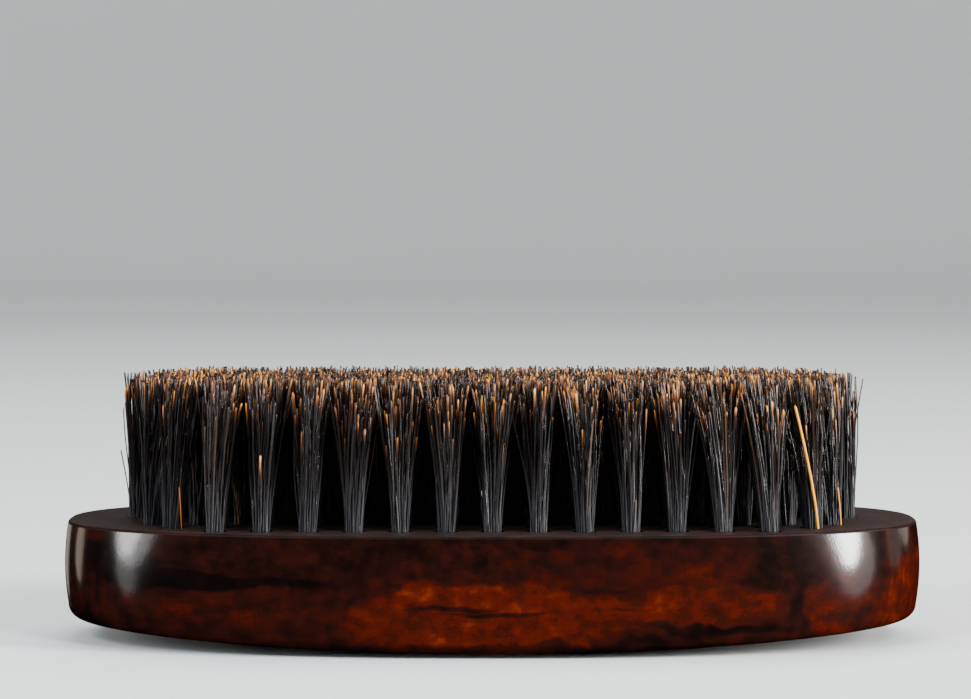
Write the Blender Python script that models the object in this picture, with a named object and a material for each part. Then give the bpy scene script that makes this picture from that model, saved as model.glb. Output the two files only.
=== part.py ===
"""Oval beard brush: a one-piece wood block, drilled and filled with tufts of bristle.

The brush lies on its back with the bristles up. The origin is at the middle of the small
flat pad that it rests on, +X runs along the block and +Z up through the bristles.

A tuft is a bundle of bristle folded at its middle round a short flat wire, its anchor. The
anchor is driven down the tuft's blind hole, and its ends bite into the wood at both sides.
The tufts stand in straight rows along the block. Outside the middle row the rows go in pairs,
and each pair is half a pitch out of step with the one before it. The middle row is made piece
by piece, a solid for each tuft and for each anchor. In every other row the tufts are one body,
which joins them where their bristles mingle near the tips.
"""
import math

import bmesh
import bpy
from mathutils import Vector

MM = 0.001

# Block: an oval with a flat face for the bristles and a gently domed back
BLOCK_LENGTH = 127 * MM
BLOCK_WIDTH = 61 * MM
BLOCK_HEIGHT = 17.5 * MM
OUTLINE_POWER = 2.5          # 2 is an ellipse, more is squarer
OUTLINE_STEPS = 96
FACE_EDGE = 0.4 * MM         # radius of the edge round the bristle face
BACK_EDGE = 1.8 * MM         # radius of the edge round the domed back
EDGE_STEPS = 3               # flats that make up each rounded edge
SIDE_BULGE = 0.5 * MM        # how far the side wall stands out at half its height
BACK_RADIUS = 600 * MM       # of the domed back
BACK_RINGS = (0.44, 0.64, 0.84)   # shares of the outline at which the dome is modelled
PAD_SHARE = 0.28             # share of the outline that is the flat pad

# Bristle field
ROWS_EACH_SIDE = 4           # of the middle row
TUFTS_IN_ROW = (17, 16, 16, 15, 13)   # from the middle row out to the edge
TUFT_PITCH = 6.6 * MM        # along a row
ROW_PITCH = 5.6 * MM         # between rows

# Tuft
TUFT_SIDES = 8
HOLE_RADIUS = 1.85 * MM
HOLE_DEPTH = 9 * MM
TUFT_RADIUS = 1.5 * MM
FIT_GAP = 0.3 * MM           # clearance left between two pieces that touch
STRAIGHT_LENGTH = 0.6 * MM   # above the wood, before a tuft starts to fan out
MERGE_HEIGHT = 13 * MM       # above the wood, where neighbouring tufts meet
BRISTLE_LENGTH = 21.7 * MM   # above the wood

# Anchor: a piece of flat wire on edge, across the grain, with its ends sheared at a slant
ANCHOR_THICKNESS = 0.5 * MM
ANCHOR_DEPTH = 1.6 * MM
ANCHOR_WIDTH = 4.9 * MM
ANCHOR_SLANT = 0.3 * MM      # lost at each end of its upper edge
FOLD_THICKNESS = 1.0 * MM    # of bristle folded under the anchor

FACE_Z = BLOCK_HEIGHT
HOLE_FLOOR_Z = FACE_Z - HOLE_DEPTH
TUFT_FOOT_Z = HOLE_FLOOR_Z + FIT_GAP
WINDOW_FLOOR_Z = TUFT_FOOT_Z + FOLD_THICKNESS
ANCHOR_FOOT_Z = WINDOW_FLOOR_Z + FIT_GAP
WINDOW_HEIGHT = ANCHOR_DEPTH + 2 * FIT_GAP
WINDOW_THICKNESS = ANCHOR_THICKNESS + 2 * FIT_GAP
NOTCH_WIDTH = ANCHOR_WIDTH + 2 * FIT_GAP


def clear_scene():
    for item in list(bpy.data.objects):
        bpy.data.objects.remove(item, do_unlink=True)


def make_material(name, color, roughness, metallic=0.0):
    material = bpy.data.materials.new(name)
    material.use_nodes = True
    shader = material.node_tree.nodes["Principled BSDF"]
    shader.inputs["Base Color"].default_value = (*color, 1.0)
    shader.inputs["Roughness"].default_value = roughness
    shader.inputs["Metallic"].default_value = metallic
    return material


def make_object(name, bm, material=None):
    """Turn a finished bmesh into an object of the scene."""
    bmesh.ops.recalc_face_normals(bm, faces=bm.faces)
    mesh = bpy.data.meshes.new(name)
    bm.to_mesh(mesh)
    bm.free()
    item = bpy.data.objects.new(name, mesh)
    bpy.context.scene.collection.objects.link(item)
    if material:
        mesh.materials.append(material)
    return item


def make_cutter(name, bm):
    cutter = make_object(name, bm)
    cutter.hide_render = True
    cutter.display_type = "WIRE"
    return cutter


def subtract(item, cutter):
    cut = item.modifiers.new(cutter.name, "BOOLEAN")
    cut.operation = "DIFFERENCE"
    cut.solver = "EXACT"
    cut.object = cutter


def add_ring(bm, points):
    return [bm.verts.new(point) for point in points]


def bridge(bm, lower, upper):
    """Join two closed rings that have the same number of points."""
    for i in range(len(lower)):
        j = (i + 1) % len(lower)
        bm.faces.new((lower[i], lower[j], upper[j], upper[i]))


def add_prism(bm, lower, upper):
    """Add a closed prism between two rings of points."""
    lower_ring = add_ring(bm, lower)
    upper_ring = add_ring(bm, upper)
    bm.faces.new(lower_ring)
    bridge(bm, lower_ring, upper_ring)
    bm.faces.new(upper_ring)


def circle(center, radius, z):
    """Points of a regular polygon with its first corner towards +X."""
    points = []
    for step in range(TUFT_SIDES):
        angle = 2 * math.pi * step / TUFT_SIDES
        offset = Vector((math.cos(angle), math.sin(angle), 0)) * radius
        points.append(Vector((center.x, center.y, z)) + offset)
    return points


def rectangle(center, x_size, y_size, z):
    corners = ((-0.5, -0.5), (0.5, -0.5), (0.5, 0.5), (-0.5, 0.5))
    return [Vector((center.x + x_size * u, center.y + y_size * v, z)) for u, v in corners]


# ---------------------------------------------------------------- places in the bristle field

def tufts_of_row(row):
    """Places along a row. Rows are numbered from the middle one, negative towards -Y."""
    count = TUFTS_IN_ROW[abs(row)]
    return [TUFT_PITCH * (i - (count - 1) / 2) for i in range(count)]


def tuft_center(row, along):
    return Vector((along, row * ROW_PITCH, 0))


def all_rows():
    return range(-ROWS_EACH_SIDE, ROWS_EACH_SIDE + 1)


# ---------------------------------------------------------------- wood block

def outline(share, inset=0.0):
    """Places of the oval outline, shrunk to a share of itself or inset by a distance."""
    half_length = (BLOCK_LENGTH / 2 - inset) * share
    half_width = (BLOCK_WIDTH / 2 - inset) * share
    points = []
    for step in range(OUTLINE_STEPS):
        angle = 2 * math.pi * step / OUTLINE_STEPS
        u = math.copysign(abs(math.cos(angle)) ** (2 / OUTLINE_POWER), math.cos(angle))
        v = math.copysign(abs(math.sin(angle)) ** (2 / OUTLINE_POWER), math.sin(angle))
        points.append(Vector((half_length * u, half_width * v, 0)))
    return points


def raised(points, z):
    return [Vector((point.x, point.y, z)) for point in points]


def on_back(points, lift=0.0):
    """Lay points on the domed back, or a distance above it."""
    return [Vector((p.x, p.y, p.length_squared / (2 * BACK_RADIUS) + lift)) for p in points]


def quarter_turn():
    """Angles from 0 to 90 degrees, at the corners of a rounded edge."""
    return [math.radians(90 * step / EDGE_STEPS) for step in range(EDGE_STEPS + 1)]


def make_block(material):
    rings = [raised(outline(PAD_SHARE), 0)]
    for share in BACK_RINGS:
        rings.append(on_back(outline(share)))
    for angle in quarter_turn():
        inset = SIDE_BULGE + BACK_EDGE * (1 - math.sin(angle))
        rings.append(on_back(outline(1, inset), BACK_EDGE * (1 - math.cos(angle))))
    rings.append(raised(outline(1), FACE_Z / 2))
    for angle in quarter_turn():
        inset = SIDE_BULGE + FACE_EDGE * (1 - math.cos(angle))
        rings.append(raised(outline(1, inset), FACE_Z - FACE_EDGE * (1 - math.sin(angle))))

    bm = bmesh.new()
    made = [add_ring(bm, ring) for ring in rings]
    bm.faces.new(made[0])
    for lower, upper in zip(made, made[1:]):
        bridge(bm, lower, upper)
    bm.faces.new(made[-1])
    block = make_object("wood_body", bm, material)

    subtract(block, make_hole_cutter())
    subtract(block, make_notch_cutter())
    block.data.shade_smooth()
    block.data.set_sharp_from_angle(angle=math.radians(30))
    return block


def make_hole_cutter():
    """One blind hole for each tuft of the field."""
    bm = bmesh.new()
    for row in all_rows():
        for along in tufts_of_row(row):
            center = tuft_center(row, along)
            floor = circle(center, HOLE_RADIUS, HOLE_FLOOR_Z)
            mouth = circle(center, HOLE_RADIUS, FACE_Z + HOLE_RADIUS)
            add_prism(bm, floor, mouth)
    return make_cutter("hole_cutter", bm)


def make_notch_cutter():
    """The notches that the anchors of the middle row cut in the walls of their holes."""
    bm = bmesh.new()
    for along in tufts_of_row(0):
        center = tuft_center(0, along)
        floor = rectangle(center, WINDOW_THICKNESS, NOTCH_WIDTH, WINDOW_FLOOR_Z)
        add_prism(bm, floor, raised(floor, WINDOW_FLOOR_Z + WINDOW_HEIGHT))
    return make_cutter("notch_cutter", bm)


# ---------------------------------------------------------------- tufts

def cell(row, along, left_gap, right_gap, z):
    """The tuft's share of the field: eight points round it, the first on its +X side."""
    left = along - TUFT_PITCH / 2 + left_gap
    right = along + TUFT_PITCH / 2 - right_gap
    across = row * ROW_PITCH
    near = across - ROW_PITCH / 2 + FIT_GAP / 2
    far = across + ROW_PITCH / 2 - FIT_GAP / 2
    return [Vector((x, y, z)) for x, y in (
        (right, across), (right, far), (along, far), (left, far),
        (left, across), (left, near), (along, near), (right, near))]


def add_tuft(bm, row, along, joined_left, joined_right):
    """Add a tuft, open on the sides where it runs into a neighbour."""
    center = tuft_center(row, along)
    left_gap = 0 if joined_left else FIT_GAP / 2
    right_gap = 0 if joined_right else FIT_GAP / 2
    merge_z = FACE_Z + MERGE_HEIGHT
    tip_z = FACE_Z + BRISTLE_LENGTH

    foot = add_ring(bm, circle(center, TUFT_RADIUS, TUFT_FOOT_Z))
    collar = add_ring(bm, circle(center, TUFT_RADIUS, FACE_Z + STRAIGHT_LENGTH))
    fanned = add_ring(bm, cell(row, along, left_gap, right_gap, merge_z))
    tips = add_ring(bm, cell(row, along, left_gap, right_gap, tip_z))

    bm.faces.new(foot)
    bridge(bm, foot, collar)
    bridge(bm, collar, fanned)
    bm.faces.new(tips)

    open_sides = set()
    if joined_right:
        open_sides |= {0, 7}
    if joined_left:
        open_sides |= {3, 4}
    for side in set(range(TUFT_SIDES)) - open_sides:
        other = (side + 1) % TUFT_SIDES
        bm.faces.new((fanned[side], fanned[other], tips[other], tips[side]))


def make_row(name, row, material):
    """A row whose tufts are joined from MERGE_HEIGHT up to the tips."""
    places = tufts_of_row(row)
    bm = bmesh.new()
    for along in places:
        add_tuft(bm, row, along, along != places[0], along != places[-1])
    bmesh.ops.remove_doubles(bm, verts=bm.verts, dist=0.01 * MM)
    return make_object(name, bm, material)


def make_window_cutter():
    """The way that the anchors of the middle row take through their folded tufts."""
    bm = bmesh.new()
    for along in tufts_of_row(0):
        floor = rectangle(tuft_center(0, along), WINDOW_THICKNESS, 4 * TUFT_RADIUS, WINDOW_FLOOR_Z)
        add_prism(bm, floor, raised(floor, WINDOW_FLOOR_Z + WINDOW_HEIGHT))
    return make_cutter("window_cutter", bm)


def make_middle_tuft(name, along, window_cutter, material):
    bm = bmesh.new()
    add_tuft(bm, 0, along, False, False)
    tuft = make_object(name, bm, material)
    subtract(tuft, window_cutter)
    return tuft


def make_anchor(name, along, material):
    center = tuft_center(0, along)
    lower = rectangle(center, ANCHOR_THICKNESS, ANCHOR_WIDTH, ANCHOR_FOOT_Z)
    upper_width = ANCHOR_WIDTH - 2 * ANCHOR_SLANT
    upper = rectangle(center, ANCHOR_THICKNESS, upper_width, ANCHOR_FOOT_Z + ANCHOR_DEPTH)
    bm = bmesh.new()
    add_prism(bm, lower, upper)
    return make_object(name, bm, material)


def build_brush():
    clear_scene()
    wood = make_material("lacquered_wood", (0.085, 0.02, 0.01), 0.2)
    bristle = make_material("boar_bristle", (0.025, 0.018, 0.014), 0.45)
    steel = make_material("anchor_wire", (0.55, 0.53, 0.5), 0.35, metallic=1.0)

    make_block(wood)
    for row in all_rows():
        if row != 0:
            make_row(f"tuft_row_{row + ROWS_EACH_SIDE + 1}", row, bristle)
    window_cutter = make_window_cutter()
    for number, along in enumerate(tufts_of_row(0), start=1):
        make_middle_tuft(f"middle_tuft_{number:02d}", along, window_cutter, bristle)
        make_anchor(f"middle_anchor_{number:02d}", along, steel)


build_brush()
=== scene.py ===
"""Looks of the oval beard brush: a lacquered block, its bristles and their wire anchors."""

import math

import bmesh
import bpy
import numpy as np
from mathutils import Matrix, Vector


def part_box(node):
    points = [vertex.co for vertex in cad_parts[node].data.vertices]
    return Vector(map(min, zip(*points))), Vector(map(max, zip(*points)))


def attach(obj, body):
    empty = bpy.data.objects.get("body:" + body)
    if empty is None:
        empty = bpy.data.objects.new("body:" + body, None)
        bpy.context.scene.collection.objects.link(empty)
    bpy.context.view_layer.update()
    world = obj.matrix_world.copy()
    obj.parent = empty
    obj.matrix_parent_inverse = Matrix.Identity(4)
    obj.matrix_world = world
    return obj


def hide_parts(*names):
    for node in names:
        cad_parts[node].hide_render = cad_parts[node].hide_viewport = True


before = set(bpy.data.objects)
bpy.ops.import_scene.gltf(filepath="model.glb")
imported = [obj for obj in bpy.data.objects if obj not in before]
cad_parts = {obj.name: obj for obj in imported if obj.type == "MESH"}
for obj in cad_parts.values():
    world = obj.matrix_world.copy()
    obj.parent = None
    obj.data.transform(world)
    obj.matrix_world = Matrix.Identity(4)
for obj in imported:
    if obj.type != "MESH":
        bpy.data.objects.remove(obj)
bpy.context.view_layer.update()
MM = 0.001

# ---------------------------------------------------------------- sizes, from the frame

block_low, block_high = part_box("wood_body")
FACE_Z = block_high.z
HALF_LENGTH = (block_high.x - block_low.x) / 2
HALF_WIDTH = (block_high.y - block_low.y) / 2
TIP_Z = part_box("middle_tuft_01")[1].z
FOOT_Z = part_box("middle_tuft_01")[0].z
anchor_low, anchor_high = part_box("middle_anchor_01")
BRISTLE_LENGTH = TIP_Z - FACE_Z

# Block
OUTLINE_POWER = 2.5          # of the superellipse that is the block's plan
OUTLINE_STEPS = 300
BACK_RADIUS = 600 * MM
PAD_SHARE = 0.28             # size of the flat pad in the middle of the back, against the block's
SIDE_BULGE = 0.5 * MM
FACE_EDGE = 0.4 * MM         # radius of the edge round the bristle face
BACK_EDGE = 1.8 * MM         # radius of the edge round the domed back
BACK_RINGS = 9
BACK_EDGE_STEPS = 7
WALL_RINGS = 9
FACE_EDGE_STEPS = 4
SHARP_ANGLE = 35             # degrees between faces from which an edge is shaded sharp
FACE_MIN_SLOPE = 0.1         # the dull finish ends where Z of the edge's normal falls below this

# Holes and anchors
HOLE_RADIUS = 1.75 * MM
HOLE_SIDES = 20
HOLE_FLOOR_Z = FOOT_Z - 0.3 * MM
CUT_ABOVE = 1 * MM           # how far the shapes that cut the holes stand out of the face
NOTCH_GAP = 0.1 * MM
ANCHOR_HALF_X = (anchor_high.x - anchor_low.x) / 2
ANCHOR_HALF_Y = (anchor_high.y - anchor_low.y) / 2
ANCHOR_TAPER = 0.3 * MM      # how much each end of an anchor's upper edge is cut back

# Bristles
HAIRS_PER_TUFT = 52          # each is folded, and so has two ends
TUBE_SIDES = 3
TUFT_RADIUS = 1.38 * MM      # of an inner tuft, at the wood
EDGE_TUFT_RADIUS = 1.2 * MM  # of a tuft in the rows along the two long edges
TIP_RADIUS = 3.24 * MM       # to which each tuft fans out
HAIR_RADII_MM = (0.095, 0.14)  # of the thinnest and the thickest hair, at the root end
STOUT_SHARE = 0.12           # share of hairs that are stout
STOUT_GROWTH = 1.4
PALE_SHARE = 0.46            # usual share of hairs with a pale tip in a clump,
PALE_SPREAD = 0.45           # how much that differs between clumps,
PALE_LIMITS = (0.03, 0.95)   # and the least and the most it can be
PALE_END_GROWTH = 1.7        # a pale tip is split and frayed, and so looks thicker
RUSTY_SHARE = 0.3            # share of hairs whose root end is rusty
PALE_GOLD = (0.5, 0.98)      # how golden a pale tip is,
DARK_GOLD = (0.1, 0.35)      # any other tip
RUSTY_GOLD = (0.3, 0.6)      # and a rusty root end
TIP_GOLD_MM = (1.6, 4.6)     # how far the gold reaches from a tip
ROOT_GOLD_MM = (1, 3)        # and from a root end
SEED = 20


# ---------------------------------------------------------------- helpers

def add_object(name, mesh, *materials):
    item = bpy.data.objects.new(name, mesh)
    bpy.context.scene.collection.objects.link(item)
    for material in materials:
        mesh.materials.append(material)
    return item


def bmesh_object(name, bm, *materials):
    bmesh.ops.recalc_face_normals(bm, faces=bm.faces)
    mesh = bpy.data.meshes.new(name)
    bm.to_mesh(mesh)
    bm.free()
    return add_object(name, mesh, *materials)


def bridge(bm, lower, upper):
    for i in range(len(lower)):
        j = (i + 1) % len(lower)
        bm.faces.new((lower[i], lower[j], upper[j], upper[i]))


def add_prism(bm, lower, upper):
    lower_ring = [bm.verts.new(p) for p in lower]
    upper_ring = [bm.verts.new(p) for p in upper]
    bm.faces.new(lower_ring)
    bridge(bm, lower_ring, upper_ring)
    bm.faces.new(upper_ring)


def tuft_centers(node):
    """Middle of the foot of each tuft in a CAD node, from the lowest points of its mesh."""
    foot_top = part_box(node)[0].z + 0.1 * MM
    feet = [v.co.copy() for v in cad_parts[node].data.vertices if v.co.z < foot_top]
    centers = []
    while feet:
        first = feet[0]
        near = [p for p in feet if (p - first).length < 2 * HOLE_RADIUS]
        feet = [p for p in feet if (p - first).length >= 2 * HOLE_RADIUS]
        xs = [p.x for p in near]
        ys = [p.y for p in near]
        centers.append((0.5 * (min(xs) + max(xs)), 0.5 * (min(ys) + max(ys))))
    return sorted(centers)


tuft_nodes = sorted(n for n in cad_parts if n.startswith(("tuft_row", "middle_tuft")))
anchor_nodes = sorted(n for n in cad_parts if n.startswith("middle_anchor"))
centers_of = {node: tuft_centers(node) for node in tuft_nodes}
all_centers = [center for node in tuft_nodes for center in centers_of[node]]
FIELD_HALF_WIDTH = max(y for x, y in all_centers)


# ---------------------------------------------------------------- materials

class Shader:
    """A node material with short names for what the materials here use."""

    def __init__(self, name):
        self.material = bpy.data.materials.new(name)
        self.material.use_nodes = True
        self.tree = self.material.node_tree
        self.surface = self.tree.nodes["Principled BSDF"]

    def node(self, kind, settings=None, **inputs):
        made = self.tree.nodes.new(kind)
        for key, value in (settings or {}).items():
            setattr(made, key, value)
        for key, value in inputs.items():
            self.feed(made.inputs[key.replace("_", " ")], value)
        return made

    def feed(self, socket, value):
        if isinstance(value, bpy.types.NodeSocket):
            self.tree.links.new(value, socket)
        else:
            socket.default_value = value

    def set(self, **inputs):
        for key, value in inputs.items():
            self.feed(self.surface.inputs[key.replace("_", " ")], value)

    def place(self, x, y, z):
        """Object coordinates in metres, times a scale for each axis."""
        source = self.node("ShaderNodeTexCoord").outputs["Object"]
        return self.node("ShaderNodeMapping", Vector=source, Scale=(x, y, z)).outputs["Vector"]

    def noise(self, scale_xyz, detail=3.0, rough=0.5, distortion=0.0):
        made = self.node("ShaderNodeTexNoise", Vector=self.place(*scale_xyz), Scale=1.0,
                         Detail=detail, Roughness=rough, Distortion=distortion)
        return made.outputs["Fac"]

    def math(self, operation, a, b=0.0):
        made = self.node("ShaderNodeMath", {"operation": operation})
        self.feed(made.inputs[0], a)
        self.feed(made.inputs[1], b)
        return made.outputs[0]

    def between(self, value, low, high):
        """0 below low, 1 above high and smooth between them."""
        made = self.node("ShaderNodeMapRange", {"interpolation_type": "SMOOTHSTEP"},
                         Value=value, From_Min=low, From_Max=high)
        return made.outputs["Result"]

    def ramp(self, value, *stops):
        made = self.node("ShaderNodeValToRGB", Fac=value)
        elements = made.color_ramp.elements
        elements.remove(elements[1])
        first_position, first_color = stops[0]
        elements[0].position = first_position
        elements[0].color = (*first_color, 1)
        for position, color in stops[1:]:
            elements.new(position).color = (*color, 1)
        return made.outputs["Color"]

    def mix(self, factor, a, b):
        made = self.node("ShaderNodeMix", {"data_type": "RGBA"})
        self.feed(made.inputs["Factor"], factor)
        for name, value in (("A", a), ("B", b)):
            socket = [s for s in made.inputs if s.name == name and s.type == "RGBA"][0]
            self.feed(socket, value if isinstance(value, bpy.types.NodeSocket) else (*value, 1))
        return [s for s in made.outputs if s.type == "RGBA"][0]

    def add_scaled(self, value, other, amount):
        """value + other * amount"""
        made = self.node("ShaderNodeMath", {"operation": "MULTIPLY_ADD"})
        self.feed(made.inputs[0], other)
        self.feed(made.inputs[1], amount)
        self.feed(made.inputs[2], value)
        return made.outputs[0]

    def centred(self, noise):
        """Noise of 0 to 1, moved to lie round 0."""
        return self.math("SUBTRACT", noise, 0.5)

    def height(self):
        """Height above the table in metres."""
        return self.node("ShaderNodeSeparateXYZ", Vector=self.place(1, 1, 1)).outputs["Z"]

    def vector_math(self, operation, a, b):
        made = self.node("ShaderNodeVectorMath", {"operation": operation})
        self.feed(made.inputs[0], a)
        self.feed(made.inputs[1], b)
        return made.outputs[0]

    def bump(self, height, strength, distance):
        made = self.node("ShaderNodeBump", Height=height, Strength=strength, Distance=distance)
        return made.outputs["Normal"]


# Where the figure of the wood is lighter or darker: x, z, half length and half height in mm,
# how much, and how soft the rim is. It runs right through the block to the other long side.
FIGURE_PATCHES = (
    (-32, 14.8, 36, 4.4, -0.05, 0.5),     # brown upper part of the left half
    (-29, 15.2, 9, 1.5, 0.09, 0.6),
    (-35, 5.4, 20, 5.0, 0.11, 0.3),       # red-brown lower part of the left half
    (-37, 6.0, 5.5, 2.4, 0.28, 0.9),
    (-29, 7.0, 5, 1.8, 0.25, 0.9),
    (-45, 7.6, 4, 1.6, 0.25, 0.9),
    (-50, 3.5, 14, 2.6, -0.12, 0.5),
    (-2, 5.6, 20, 6.0, 0.37, 0.2),        # orange middle
    (12, 11.2, 31, 6.4, 0.05, 0.3),       # redder zone above it
    (17, 5.6, 16, 2.6, 0.31, 0.4),        # light lower rim of a leaf that ends in a point
    (30, 7.6, 12, 3.2, 0.27, 0.35),
    (30, 12.2, 7, 2.2, 0.22, 0.7),
    (12, 16.8, 22, 0.9, -0.14, 0.5),      # dark line under the bristle face: painted shade along its rounded edge
    (41, 14.4, 5.5, 4.0, -0.11, 0.5),
    (43.5, 8.0, 2.4, 5.0, -0.14, 0.5),
    (30, 4.2, 12, 0.9, -0.36, 0.6),       # dark wedge under the leaf
    (8, 1.8, 24, 0.8, -0.2, 0.7),
    (49, 7.5, 4.5, 7.5, 0.2, 0.5),
    (63, 7.5, 9, 6.4, 0.34, 0.25),        # bright right end
)
# Black and dark streaks along the block, in the same measures
FIGURE_STREAKS = (
    (-60, 13.0, 12, 2.5, -0.3, 0.25),
    (-45, 11.0, 13, 1.5, -0.34, 0.25),
    (-32, 10.8, 11, 0.75, -0.26, 0.45),
    (-5.5, 7.15, 6.5, 0.45, -0.4, 0.7),
    (1, 6.5, 8, 0.4, -0.4, 0.7),
    (18, 6.9, 5, 0.35, -0.14, 0.7),
    (13, 9.6, 7, 0.5, -0.1, 0.7),
)
END_GRAIN_START = 50         # mm from the middle, where the end grain begins to show as streaks
END_GRAIN_FULL = 58          # mm from the middle, where it shows fully
CONTACT_SHADE_TOP = 2.6            # mm above the table, where the painted shade near the table begins, darkening downwards
CONTACT_SHADE_DARKEST = 0.8           # mm above the table, where the painted shade is darkest

# How light the wood is without its patches, how much each layer of its grain changes that, and how
# much the painted shade near the table darkens it
BASE_LIGHTNESS = 0.2
BAND_AMOUNT = 0.32
BLOTCH_AMOUNT = 1.0
PORE_AMOUNT = 0.14
END_GRAIN_AMOUNT = 0.7
CONTACT_SHADE_AMOUNT = -0.2


def warped_place(s, place, scale, amount):
    """Places in mm, pushed about by noise of a scale in 1/mm."""
    noise = s.node("ShaderNodeTexNoise", Vector=place, Scale=scale, Detail=2.0)
    push = s.vector_math("SUBTRACT", noise.outputs["Color"], (0.5, 0.5, 0.5))
    push = s.vector_math("MULTIPLY", push, (amount, amount, 0.45 * amount))
    return s.vector_math("ADD", place, push)


def patch(s, place, x, z, half_length, half_height, softness):
    """1 inside an oval tunnel that runs across the block, 0 outside it."""
    shrunk = s.node("ShaderNodeMapping", Vector=place, Scale=(1 / half_length, 0, 1 / half_height),
                    Location=(-x / half_length, 0, -z / half_height))
    length = s.node("ShaderNodeVectorMath", {"operation": "LENGTH"})
    s.feed(length.inputs[0], shrunk.outputs["Vector"])
    return s.between(length.outputs["Value"], 1 + softness / 2, 1 - softness)


def wood_figure(s):
    """How light the figured wood is, 0 to 1: patches, bands along the block, fine grain and painted
    shade near the table.
    """
    millimetres = s.place(1000, 1000, 1000)
    smooth = warped_place(s, millimetres, 0.1, 6)
    rough = warped_place(s, warped_place(s, smooth, 0.2, 8), 1.1, 1.6)
    bands = s.noise((22, 60, 150), detail=4, rough=0.6, distortion=0.5)
    value = s.add_scaled(BASE_LIGHTNESS, bands, BAND_AMOUNT)
    lightest = 0.0
    darkest = 0.0
    for place, patches in ((rough, FIGURE_PATCHES), (smooth, FIGURE_STREAKS)):
        for *shape, amount, softness in patches:
            change = s.math("MULTIPLY", patch(s, place, *shape, softness), amount)
            if amount > 0:
                lightest = s.math("MAXIMUM", lightest, change)
            else:
                darkest = s.math("MINIMUM", darkest, change)
    value = s.math("ADD", s.math("ADD", value, lightest), darkest)
    blotch = s.noise((360, 360, 480), detail=4, rough=0.6)
    value = s.add_scaled(value, s.centred(blotch), BLOTCH_AMOUNT)
    pores = s.noise((700, 1800, 1800), detail=2)
    value = s.add_scaled(value, s.centred(pores), PORE_AMOUNT)
    place = s.node("ShaderNodeSeparateXYZ", Vector=millimetres)
    end = s.between(s.math("ABSOLUTE", place.outputs["X"]), END_GRAIN_START, END_GRAIN_FULL)
    streaks = s.noise((300, 900, 90), detail=3, rough=0.6)
    value = s.add_scaled(value, s.math("MULTIPLY", s.centred(streaks), end), END_GRAIN_AMOUNT)
    # Painted shade: the wood darkens towards the table
    contact_shade = s.between(place.outputs["Z"], CONTACT_SHADE_TOP, CONTACT_SHADE_DARKEST)
    return s.add_scaled(value, contact_shade, CONTACT_SHADE_AMOUNT)


# Colour of the wood by how light it is
WOOD_STOPS = (
    (0.0, (0.0025, 0.0012, 0.0012)),
    (0.2, (0.0055, 0.0017, 0.0014)),
    (0.4, (0.0125, 0.0025, 0.0016)),
    (0.6, (0.025, 0.0028, 0.0011)),
    (0.8, (0.05, 0.0037, 0.0006)),
    (1.0, (0.11, 0.0135, 0.0025)),
)


def lacquered_wood():
    """Figured wood under a clear lacquer that is slightly wavy, like the peel of an orange."""
    s = Shader("lacquered_wood")
    color = s.ramp(wood_figure(s), *WOOD_STOPS)
    cloud = s.noise((350, 350, 350), detail=3)
    waves = s.noise((250, 250, 250), detail=1)
    ripples = s.noise((2600, 2600, 2600), detail=1)
    peel = s.add_scaled(waves, ripples, 0.35)
    s.set(Base_Color=color, Roughness=s.add_scaled(0.22, cloud, 0.1), Specular_IOR_Level=0.02,
          Coat_Weight=0.8, Coat_Roughness=0.13, Coat_Normal=s.bump(peel, 0.07, 0.0003))
    return s.material


# Grey of the dust on the face, and of the grey sheen painted over it
DUST_AND_SHEEN_COLOR = (0.06, 0.042, 0.035)


def face_wood():
    """The face that the tufts stand in: the same wood with a thin dull finish, dust and painted sheen.
    """
    s = Shader("bristle_face_wood")
    color = s.ramp(wood_figure(s), *WOOD_STOPS)
    dust = s.noise((2600, 2600, 2600), detail=1)
    # Grey film over the flat face: dust specks and a painted grazing sheen
    dust_and_sheen_cloud = s.noise((260, 260, 260), detail=3)
    dust_and_sheen = s.add_scaled(s.math("MULTIPLY", dust_and_sheen_cloud, 0.5), s.between(dust, 0.62, 0.7), 0.7)
    flat = s.between(s.height(), FACE_Z - 0.3 * FACE_EDGE, FACE_Z)
    color = s.mix(s.math("MULTIPLY", dust_and_sheen, flat), color, DUST_AND_SHEEN_COLOR)
    grain = s.noise((200, 2500, 900), detail=2)
    s.set(Base_Color=color, Roughness=s.add_scaled(0.42, dust, 0.2), Specular_IOR_Level=0.1,
          Normal=s.bump(grain, 0.3, 0.0004))
    return s.material


# Colour of a hair's shaft by its tone, and of its end by how golden it is
SHAFT_STOPS = (
    (0.0, (0.003, 0.0025, 0.003)),
    (0.7, (0.008, 0.006, 0.006)),
    (0.93, (0.02, 0.013, 0.01)),
    (1.0, (0.06, 0.03, 0.016)),
)
GOLD_STOPS = (
    (0.0, (0.01, 0.007, 0.006)),
    (0.25, (0.04, 0.012, 0.005)),
    (0.5, (0.15, 0.042, 0.003)),
    (0.75, (0.48, 0.145, 0.006)),
    (0.88, (0.85, 0.33, 0.015)),
    (1.0, (0.95, 0.55, 0.08)),
)
# Painted cool grey sheen low on the shafts, for light they catch near the wood
FOOT_SHEEN_COLOR = (0.042, 0.041, 0.047)
FOOT_SHEEN_HEIGHT = 11 * MM   # above the wood, where the painted grey sheen on a shaft begins, growing downwards


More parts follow.
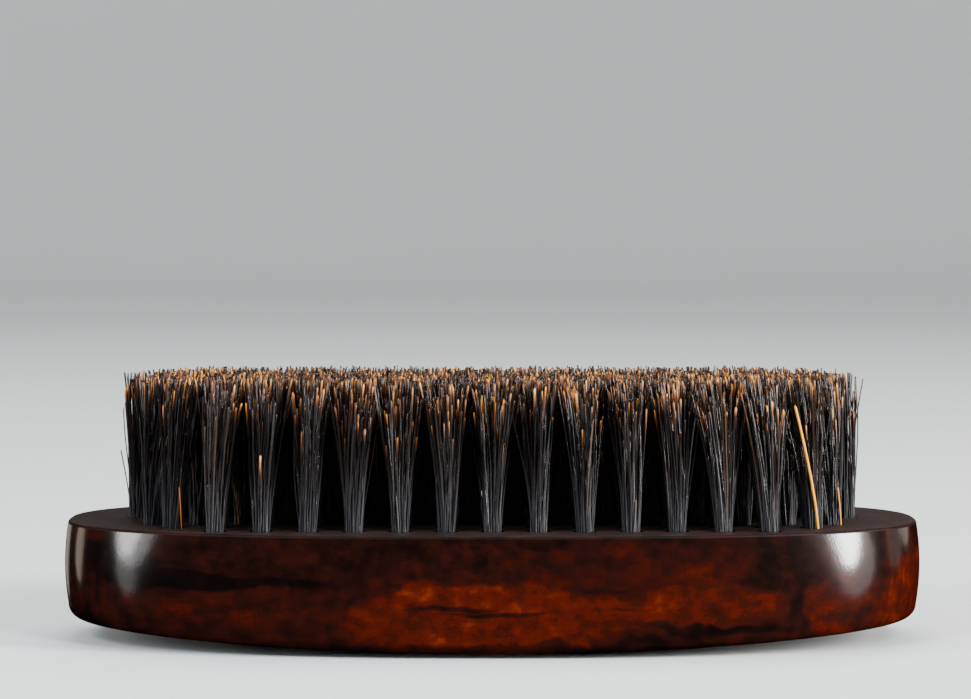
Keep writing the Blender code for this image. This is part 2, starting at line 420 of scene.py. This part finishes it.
def bristle_material():
    """Boar bristle, from two attributes: tone, a hair's own shade, from which its dullness also
    comes, and gold, which is 0 on its shaft and up to 1 at a pale tip."""
    s = Shader("boar_bristle")
    gold = s.node("ShaderNodeAttribute", {"attribute_name": "gold"}).outputs["Fac"]
    tone = s.node("ShaderNodeAttribute", {"attribute_name": "tone"}).outputs["Fac"]
    # Painted sheen: each shaft turns cool grey towards the wood
    foot = s.math("MULTIPLY", s.between(s.height(), FACE_Z + FOOT_SHEEN_HEIGHT, FACE_Z), 0.55)
    shaft = s.mix(foot, s.ramp(tone, *SHAFT_STOPS), FOOT_SHEEN_COLOR)
    color = s.mix(s.between(gold, 0.0, 0.2), shaft, s.ramp(gold, *GOLD_STOPS))
    scales = s.noise((1500, 1500, 400), detail=2)
    dullness = s.math("FRACT", s.math("MULTIPLY", tone, 7.0))
    rough = s.add_scaled(s.math("MULTIPLY", gold, 0.3), dullness, 0.22)
    s.set(Base_Color=color, Roughness=s.add_scaled(rough, scales, 0.16), Specular_IOR_Level=0.5)
    return s.material


def wire_material():
    s = Shader("anchor_wire")
    brushed = s.noise((4000, 150, 4000), detail=2)
    color = s.ramp(brushed, (0.3, (0.42, 0.4, 0.37)), (0.7, (0.62, 0.6, 0.56)))
    s.set(Base_Color=color, Roughness=s.add_scaled(0.25, brushed, 0.2), Metallic=1.0)
    return s.material


# ---------------------------------------------------------------- block

def outline(inset, share=1.0):
    """The block's plan, moved inwards by inset and then made smaller to a share of its size."""
    a = (HALF_LENGTH - inset) * share
    b = (HALF_WIDTH - inset) * share
    points = []
    for step in range(OUTLINE_STEPS):
        angle = 2 * math.pi * step / OUTLINE_STEPS
        u = math.copysign(abs(math.cos(angle)) ** (2 / OUTLINE_POWER), math.cos(angle))
        v = math.copysign(abs(math.sin(angle)) ** (2 / OUTLINE_POWER), math.sin(angle))
        points.append((a * u, b * v))
    return points


def back_height(x, y):
    return (x * x + y * y) / (2 * BACK_RADIUS)


def arc_angles(steps):
    return [math.radians(90 * step / steps) for step in range(steps + 1)]


def block_rings():
    """Rings of points from the pad up over the back, the side wall and the face's edge."""
    rings = [[(x, y, 0) for x, y in outline(0, PAD_SHARE)]]
    for ring in range(1, BACK_RINGS + 1):
        share = PAD_SHARE + (1 - PAD_SHARE) * ring / (BACK_RINGS + 1)
        rings.append([(x, y, back_height(x, y)) for x, y in outline(SIDE_BULGE + BACK_EDGE, share)])
    for angle in arc_angles(BACK_EDGE_STEPS):
        inset = SIDE_BULGE + BACK_EDGE * (1 - math.sin(angle))
        rise = BACK_EDGE * (1 - math.cos(angle))
        rings.append([(x, y, back_height(x, y) + rise) for x, y in outline(inset)])
    for level in range(1, WALL_RINGS):
        share = level / WALL_RINGS
        bulge = SIDE_BULGE * (1 - (2 * share - 1) ** 2)
        ring = []
        for x, y in outline(SIDE_BULGE - bulge):
            low = back_height(x, y) + BACK_EDGE
            ring.append((x, y, low + (FACE_Z - FACE_EDGE - low) * share))
        rings.append(ring)
    for angle in arc_angles(FACE_EDGE_STEPS):
        inset = SIDE_BULGE + FACE_EDGE * (1 - math.cos(angle))
        z = FACE_Z - FACE_EDGE * (1 - math.sin(angle))
        rings.append([(x, y, z) for x, y in outline(inset)])
    return rings


def polygon_points(center, radius, z, sides):
    """Corners of a level regular polygon."""
    angles = [2 * math.pi * step / sides for step in range(sides)]
    return [(center[0] + radius * math.cos(a), center[1] + radius * math.sin(a), z) for a in angles]


def rectangle(center, half_x, half_y, z):
    x, y = center
    return [(x - half_x, y - half_y, z), (x + half_x, y - half_y, z),
            (x + half_x, y + half_y, z), (x - half_x, y + half_y, z)]


def subtract(item, name, fill):
    """Cut away the closed shapes that fill adds to a bmesh."""
    bm = bmesh.new()
    fill(bm)
    cutter = bmesh_object(name, bm)
    cut = item.modifiers.new(name, "BOOLEAN")
    cut.operation = "DIFFERENCE"
    cut.solver = "EXACT"
    cut.object = cutter
    bpy.context.view_layer.update()
    evaluated = item.evaluated_get(bpy.context.evaluated_depsgraph_get())
    shape = bpy.data.meshes.new_from_object(evaluated)
    item.modifiers.clear()
    item.data = shape
    bpy.data.objects.remove(cutter)


def add_holes(bm):
    for center in all_centers:
        add_prism(bm, polygon_points(center, HOLE_RADIUS, HOLE_FLOOR_Z, HOLE_SIDES),
                  polygon_points(center, HOLE_RADIUS, FACE_Z + CUT_ABOVE, HOLE_SIDES))


def add_notches(bm):
    half_x = ANCHOR_HALF_X + NOTCH_GAP
    half_y = ANCHOR_HALF_Y + NOTCH_GAP
    for center in all_centers:
        add_prism(bm, rectangle(center, half_x, half_y, anchor_low.z - NOTCH_GAP),
                  rectangle(center, half_x, half_y, anchor_high.z + NOTCH_GAP))


def make_block():
    bm = bmesh.new()
    rings = [[bm.verts.new(point) for point in ring] for ring in block_rings()]
    bm.faces.new(rings[0])
    for lower, upper in zip(rings, rings[1:]):
        bridge(bm, lower, upper)
    bm.faces.new(rings[-1])
    block = bmesh_object("lacquered_block", bm, lacquered_wood(), face_wood())
    subtract(block, "holes", add_holes)
    subtract(block, "notches", add_notches)
    for polygon in block.data.polygons:
        if polygon.normal.z > FACE_MIN_SLOPE and polygon.center.z > FACE_Z - FACE_EDGE:
            polygon.material_index = 1
    block.data.shade_smooth()
    block.data.set_sharp_from_angle(angle=math.radians(SHARP_ANGLE))
    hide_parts("wood_body")
    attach(block, "root")


# ---------------------------------------------------------------- bristles

# Rings along an end of a hair, as shares of its height above the wood, from the tip down
END_SHARES = np.array([1.0, 0.985, 0.93, 0.84, 0.7, 0.54, 0.37, 0.18, 0.0])
FOLD_RINGS = 5               # rings of a hair inside its hole, two on each side and one below
ANCHOR_CLEARANCE = 0.1 * MM  # between an anchor's sides and the hairs that fold round it
SQUEEZE_X = 0.75             # how much narrower a tuft is beside its anchor than at the wood
SQUEEZE_Y = 0.92
FOLD_DROP = 0.15 * MM        # how far the innermost hair hangs below the anchor
FOLD_SPREAD = 0.55           # how much lower the others hang, for how far out they start
CLUMPS = 7                   # groups of hairs in a tuft that lean the same way
EDGE_PULL = 0.03             # share by which the tips of the field draw in towards its middle
TUFT_LEAN = 0.3 * MM         # usual sideways lean at the tips, of a whole tuft,
CLUMP_LEAN = 0.65 * MM       # of a clump in it
HAIR_LEAN = 0.7 * MM         # and of a single hair
WAVE = 0.18 * MM             # usual sideways waviness of a hair
TIP_UNEVENNESS = 0.6 * MM    # usual depth of a tip below the tips' plane

# Hairs that end lower: their share, and shape and scale of the gamma distribution of how much
LOWER_ENDS = (0.5, 1.7, 1.5 * MM)
EDGE_LOWER_ENDS = (0.88, 3.0, 1.2 * MM)


def in_edge_row(center):
    """Whether a tuft stands in one of the two outermost rows."""
    return abs(center[1]) > 0.9 * FIELD_HALF_WIDTH


def tuft_radius(center):
    return EDGE_TUFT_RADIUS if in_edge_row(center) else TUFT_RADIUS


def hair_end(base, center, clump_lean, rng):
    """Points (hair, ring, 3) of one end of each hair, from its tip down to the wood."""
    count = len(base)
    low_share, low_shape, low_scale = EDGE_LOWER_ENDS if in_edge_row(center) else LOWER_ENDS
    drop = np.abs(rng.normal(0, TIP_UNEVENNESS, count))
    drop = drop + np.where(rng.random(count) < low_share, rng.gamma(low_shape, low_scale, count), 0)
    height = BRISTLE_LENGTH - np.minimum(drop, 0.5 * BRISTLE_LENGTH)
    z = height[:, None] * END_SHARES[None, :]
    rise = z / BRISTLE_LENGTH
    reach = (0.45 * rise + 0.55 * rise ** 2)[..., None]
    lean = clump_lean + rng.normal(0, HAIR_LEAN, (count, 2))
    wave = rng.normal(0, WAVE, (count, 1, 2))
    phase = rng.uniform(0, 2 * math.pi, (count, 1, 1))
    fan = TIP_RADIUS / tuft_radius(center) - 1
    plan = base[:, None, :] * (1 + fan * reach) + lean[:, None, :] * reach
    plan = plan + wave * (np.sin(1.6 * math.pi * rise[..., None] + phase) - np.sin(phase))
    plan = plan + np.array(center) * (1 - EDGE_PULL * reach)
    return np.concatenate([plan, (FACE_Z + z)[..., None]], 2)


def fold_paths(first, second, center):
    """Join two ends of each hair down through the hole and round under the anchor."""
    def beside(end, z):
        base = end[:, -1, :2] - np.array(center)
        outwards = ANCHOR_HALF_X + ANCHOR_CLEARANCE + SQUEEZE_X * np.abs(base[:, 0])
        base[:, 0] = np.sign(base[:, 0]) * outwards
        base[:, 1] *= SQUEEZE_Y
        return np.concatenate([base + np.array(center), np.full((len(base), 1), z)], 1)[:, None, :]

    depth = np.abs(first[:, -1, 0] - center[0])
    down = [beside(first, anchor_high.z), beside(first, anchor_low.z)]
    up = [beside(second, anchor_low.z), beside(second, anchor_high.z)]
    under = 0.5 * (down[1] + up[0])
    under[:, 0, 2] = anchor_low.z - FOLD_DROP - FOLD_SPREAD * depth
    return np.concatenate([first, *down, under, *up, second[:, ::-1]], 1)


def tip_color(end, length, strength):
    """Gold along an end: strength at its tip, fading to nothing a length below it."""
    distance = end[:, :1, 2] - end[:, :, 2]
    return strength[:, None] * np.clip(1 - distance / length[:, None], 0, 1)


def hair_paths(center, rng):
    """A tuft's folded hairs: points (hair, ring, 3), radii and gold (hair, ring), tone (hair)."""
    count = HAIRS_PER_TUFT
    # The ends lie on a spiral that turns by the golden angle, which fills the hole evenly
    index = np.arange(2 * count) + 0.5
    spiral_radius = tuft_radius(center) * np.sqrt(index / (2 * count))
    spiral_angle = index * math.pi * (3 - math.sqrt(5)) + rng.uniform(0, 2 * math.pi)
    base = np.stack([spiral_radius * np.cos(spiral_angle), spiral_radius * np.sin(spiral_angle)], 1)
    base = base[np.argsort(base[:, 0])]
    middles = base[rng.integers(0, 2 * count, CLUMPS)]
    clump = np.argmin(np.linalg.norm(base[:, None, :] - middles[None], axis=2), axis=1)
    clump_lean = rng.normal(0, CLUMP_LEAN, (CLUMPS, 2)) + rng.normal(0, TUFT_LEAN, 2)

    left = np.arange(count)
    right = 2 * count - 1 - left
    ends = [hair_end(base[side], center, clump_lean[clump[side]], rng) for side in (left, right)]
    flip = rng.random(count)[:, None, None] < 0.5
    tip = np.where(flip, ends[0], ends[1])
    root = np.where(flip, ends[1], ends[0])
    points = fold_paths(tip, root, center)

    # A hair is thickest at the root end, which is cut off square, and golden at its own tip
    along = np.linspace(0, 1, points.shape[1])[None, :]
    radius = rng.uniform(*HAIR_RADII_MM, count)[:, None] * MM * (0.68 + 0.32 * along)
    radius *= np.where(rng.random(count) < STOUT_SHARE, STOUT_GROWTH, 1)[:, None]
    radius[:, 0] *= 0.5
    clump_pale = np.clip(rng.normal(PALE_SHARE, PALE_SPREAD, CLUMPS), *PALE_LIMITS)
    pale = rng.random(count) < clump_pale[clump[left]]
    radius[:, 1:4] *= np.where(pale, PALE_END_GROWTH, 1)[:, None]
    gold = np.zeros(points.shape[:2])
    rings = len(END_SHARES)
    strength = np.where(pale, rng.uniform(*PALE_GOLD, count), rng.uniform(*DARK_GOLD, count))
    gold[:, :rings] = tip_color(tip, rng.uniform(*TIP_GOLD_MM, count) * MM, strength)
    rusty = np.where(rng.random(count) < RUSTY_SHARE, rng.uniform(*RUSTY_GOLD, count), 0)
    gold[:, -rings:] = tip_color(root, rng.uniform(*ROOT_GOLD_MM, count) * MM, rusty)[:, ::-1]
    return points, radius, gold, rng.random(count)


# Single hairs that stand apart from their tufts: x and y of the foot, x and y of the tip, height
# and radius in mm, and how golden they are
STRAYS = (
    (46.9, -17.9, 43.2, -21.2, 17.9, 0.21, 0.86),
    (-44.8, -17.6, -45.0, -18.8, 6.0, 0.10, 0.74),
    (-36.9, -12.6, -37.6, -13.4, 6.0, 0.10, 0.7),
    (50.8, -12.1, 50.2, -13.4, 5.5, 0.12, 0.86),
    (-53.2, -5.4, -54.7, -6.5, 10.5, 0.10, 0.1),
    (53.2, 5.4, 56.0, 6.5, 20.4, 0.11, 0.1),
)
STRAY_DEPTH = 5 * MM         # how far down its hole a stray hair is drawn


def stray_hairs():
    """The stray hairs, in the same form as a tuft's hairs."""
    foot_x, foot_y, tip_x, tip_y, height, radius, gold = np.array(STRAYS).T
    above = len(END_SHARES)
    rings = 2 * above + FOLD_RINGS
    share = np.concatenate([END_SHARES, np.zeros(rings - above)])[None, :]
    below = np.concatenate([np.zeros(above), np.linspace(0, 1, rings - above + 1)[1:]])
    bow = share ** 1.3
    x = foot_x[:, None] + (tip_x - foot_x)[:, None] * bow
    y = foot_y[:, None] + (tip_y - foot_y)[:, None] * bow
    z = FACE_Z + height[:, None] * share * MM - STRAY_DEPTH * below
    taper = np.where(share > 0.99, 0.5, 1)
    radii = radius[:, None] * MM * taper
    return np.stack([x * MM, y * MM, z], 2), radii, gold[:, None] * np.ones(rings), gold


def tubes(points, radius):
    """Vertices and triangles of closed tubes along paths that never run straight along Y."""
    count, rings, _ = points.shape
    tangent = np.gradient(points, axis=1)
    tangent /= np.linalg.norm(tangent, axis=2, keepdims=True)
    side = np.zeros_like(points)
    side[..., 1] = 1
    side -= (side * tangent).sum(2, keepdims=True) * tangent
    side /= np.linalg.norm(side, axis=2, keepdims=True)
    front = np.cross(tangent, side)
    corners = []
    for corner in range(TUBE_SIDES):
        angle = 2 * math.pi * corner / TUBE_SIDES
        corners.append(points + radius[..., None] * (math.cos(angle) * side + math.sin(angle) * front))
    vertices = np.stack(corners, 2).reshape(-1, 3)

    hair = np.arange(count)[:, None, None] * rings * TUBE_SIDES
    ring = np.arange(rings - 1)[None, :, None] * TUBE_SIDES
    corner = np.arange(TUBE_SIDES)[None, None, :]
    a = hair + ring + corner
    b = hair + ring + (corner + 1) % TUBE_SIDES
    c = b + TUBE_SIDES
    d = a + TUBE_SIDES
    walls = np.concatenate([np.stack([a, b, c], 3), np.stack([a, c, d], 3)]).reshape(-1, 3)
    start = np.arange(count)[:, None] * rings * TUBE_SIDES
    caps = []
    for corner in range(1, TUBE_SIDES - 1):
        caps.append(start + np.array([[0, corner + 1, corner]]))
        last = start + (rings - 1) * TUBE_SIDES
        caps.append(last + np.array([[0, corner, corner + 1]]))
    return vertices, np.concatenate([walls, *caps])


def mesh_from_arrays(name, vertices, triangles):
    mesh = bpy.data.meshes.new(name)
    mesh.vertices.add(len(vertices))
    mesh.vertices.foreach_set("co", vertices.astype(np.float32).ravel())
    mesh.loops.add(3 * len(triangles))
    mesh.loops.foreach_set("vertex_index", triangles.astype(np.int32).ravel())
    mesh.polygons.add(len(triangles))
    mesh.polygons.foreach_set("loop_start", np.arange(0, 3 * len(triangles), 3, dtype=np.int32))
    mesh.update(calc_edges=True)
    mesh.validate()
    return mesh


def add_attribute(mesh, name, values):
    attribute = mesh.attributes.new(name, "FLOAT", "POINT")
    attribute.data.foreach_set("value", values.astype(np.float32).ravel())


def make_bristles(node, material, seed):
    rng = np.random.default_rng(seed)
    parts = [hair_paths(center, rng) for center in centers_of[node]]
    if node == tuft_nodes[-1]:
        parts.append(stray_hairs())
    points = np.concatenate([part[0] for part in parts])
    radius = np.concatenate([part[1] for part in parts])
    gold = np.concatenate([part[2] for part in parts])
    tone = np.concatenate([part[3] for part in parts])
    vertices, triangles = tubes(points, radius)
    name = node.replace("tuft", "bristles")
    mesh = mesh_from_arrays(name, vertices, triangles)
    add_attribute(mesh, "gold", np.repeat(gold.ravel(), TUBE_SIDES))
    add_attribute(mesh, "tone", np.repeat(np.repeat(tone, points.shape[1]), TUBE_SIDES))
    mesh.shade_smooth()
    bristles = add_object(name, mesh, material)
    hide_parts(node)
    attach(bristles, "root")


# ---------------------------------------------------------------- anchors

def make_anchors():
    bm = bmesh.new()
    for center in all_centers:
        add_prism(bm, rectangle(center, ANCHOR_HALF_X, ANCHOR_HALF_Y, anchor_low.z),
                  rectangle(center, ANCHOR_HALF_X, ANCHOR_HALF_Y - ANCHOR_TAPER, anchor_high.z))
    anchors = bmesh_object("tuft_anchors", bm, wire_material())
    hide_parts(*anchor_nodes)
    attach(anchors, "root")


# ---------------------------------------------------------------- studio

FLOOR_RADIUS = 2.0
FLOOR_SIDES = 96
SWEEP = 1.5                  # radius in which the floor turns up into the wall
SWEEP_STEPS = 16
WALL_HEIGHT = 2.5
SKY_COLOR = (0.92, 0.96, 1.0, 1)
SKY_STRENGTH = 0.8
AIM_HEIGHT = 0.02            # of the point that the lights are aimed at

# Lights by name, azimuth and elevation in degrees, distance and size in metres, power in watts
# and colour. Azimuth 0 is on the camera's side, and 90 on its right.
SOFTBOXES = (
    # Long highlights on the two shoulders of the block, and their soft lower ends
    ("left_key", -72, 13, 0.9, (0.2, 0.4), 3.2, (0.96, 0.98, 1.0)),
    ("left_fill", -70, 10, 0.95, (0.36, 0.44), 2.0, (0.96, 0.98, 1.0)),
    ("left_low", -72, -3, 0.95, (0.2, 0.3), 0.35, (1.0, 0.95, 0.93)),
    ("right_key", 67, 12, 0.9, (0.2, 0.48), 22, (1.0, 0.99, 0.97)),
    ("right_low", 71, 0, 0.95, (0.4, 0.42), 1.3, (1.0, 0.94, 0.92)),
    # Faint warm bands near the block's two ends
    ("left_rim", -118, -1, 1.0, (0.22, 0.28), 0.32, (1.0, 0.8, 0.66)),
    ("left_edge", -150, -2, 1.0, (0.3, 0.26), 0.14, (1.0, 0.85, 0.76)),
    ("right_rim", 103, 3, 1.0, (0.34, 0.28), 0.2, (1.0, 0.82, 0.7)),
    ("right_edge", 120, 5, 1.0, (0.3, 0.22), 0.28, (1.0, 0.88, 0.78)),
    # Cool light on the bristles, warm light from above and a little cool light from behind
    ("front_left", -38, 34, 0.9, (0.16, 0.3), 4.8, (0.76, 0.9, 1.0)),
    ("front_right", 34, 36, 0.9, (0.16, 0.3), 4.8, (0.76, 0.9, 1.0)),
    ("top", 180, 72, 0.9, (0.7, 0.5), 5, (1.0, 0.98, 0.95)),
    ("back", 180, 22, 1.2, (1.2, 0.3), 0.5, (0.85, 0.92, 1.0)),
)

CAMERA_PLACE = (-0.001, -0.502, 0.064)
CAMERA_DIP = 2.45            # degrees by which it looks down
LENS = 125                   # mm


def make_floor():
    """A pale floor that sweeps up into a wall all round."""
    s = Shader("studio_floor")
    cloud = s.noise((3, 3, 3), detail=2)
    color = s.ramp(cloud, (0.3, (0.78, 0.78, 0.77)), (0.7, (0.8, 0.8, 0.79)))
    s.set(Base_Color=color, Roughness=0.9)
    profile = []
    for angle in arc_angles(SWEEP_STEPS):
        profile.append((FLOOR_RADIUS + SWEEP * math.sin(angle), SWEEP * (1 - math.cos(angle))))
    profile.append((FLOOR_RADIUS + SWEEP, WALL_HEIGHT))
    bm = bmesh.new()
    rings = []
    for radius, z in profile:
        rings.append([bm.verts.new(p) for p in polygon_points((0, 0), radius, z, FLOOR_SIDES)])
    bm.faces.new(rings[0])
    for lower, upper in zip(rings, rings[1:]):
        bridge(bm, lower, upper)
    floor = bmesh_object("floor", bm, s.material)
    floor.data.shade_smooth()
    floor.visible_glossy = False


def softbox(name, azimuth, elevation, distance, size, power, color):
    """An area light that is aimed at the brush, and that the camera doesn't see directly."""
    angle = math.radians(azimuth)
    rise = math.radians(elevation)
    data = bpy.data.lights.new(name, "AREA")
    data.shape = "ELLIPSE"
    data.size, data.size_y = size
    data.energy = power
    data.color = color
    light = bpy.data.objects.new(name, data)
    direction = Vector((math.sin(angle) * math.cos(rise), -math.cos(angle) * math.cos(rise),
                        math.sin(rise)))
    light.location = direction * distance + Vector((0, 0, AIM_HEIGHT))
    light.rotation_euler = direction.to_track_quat("Z", "Y").to_euler()
    light.visible_camera = False
    bpy.context.scene.collection.objects.link(light)


def make_studio():
    make_floor()
    world = bpy.data.worlds.new("studio")
    world.use_nodes = True
    world.cycles_visibility.glossy = False
    bpy.context.scene.world = world
    sky = world.node_tree.nodes["Background"]
    sky.inputs["Color"].default_value = SKY_COLOR
    sky.inputs["Strength"].default_value = SKY_STRENGTH
    for settings in SOFTBOXES:
        softbox(*settings)


def make_camera():
    data = bpy.data.cameras.new("camera")
    data.lens = LENS
    data.sensor_width = 36
    data.clip_start = 0.01
    camera = bpy.data.objects.new("camera", data)
    camera.location = CAMERA_PLACE
    camera.rotation_euler = (math.radians(90 - CAMERA_DIP), 0, 0)
    bpy.context.scene.collection.objects.link(camera)
    bpy.context.scene.camera = camera


make_block()
bristle = bristle_material()
for number, node in enumerate(tuft_nodes):
    make_bristles(node, bristle, SEED + number)
make_anchors()
make_studio()
make_camera()
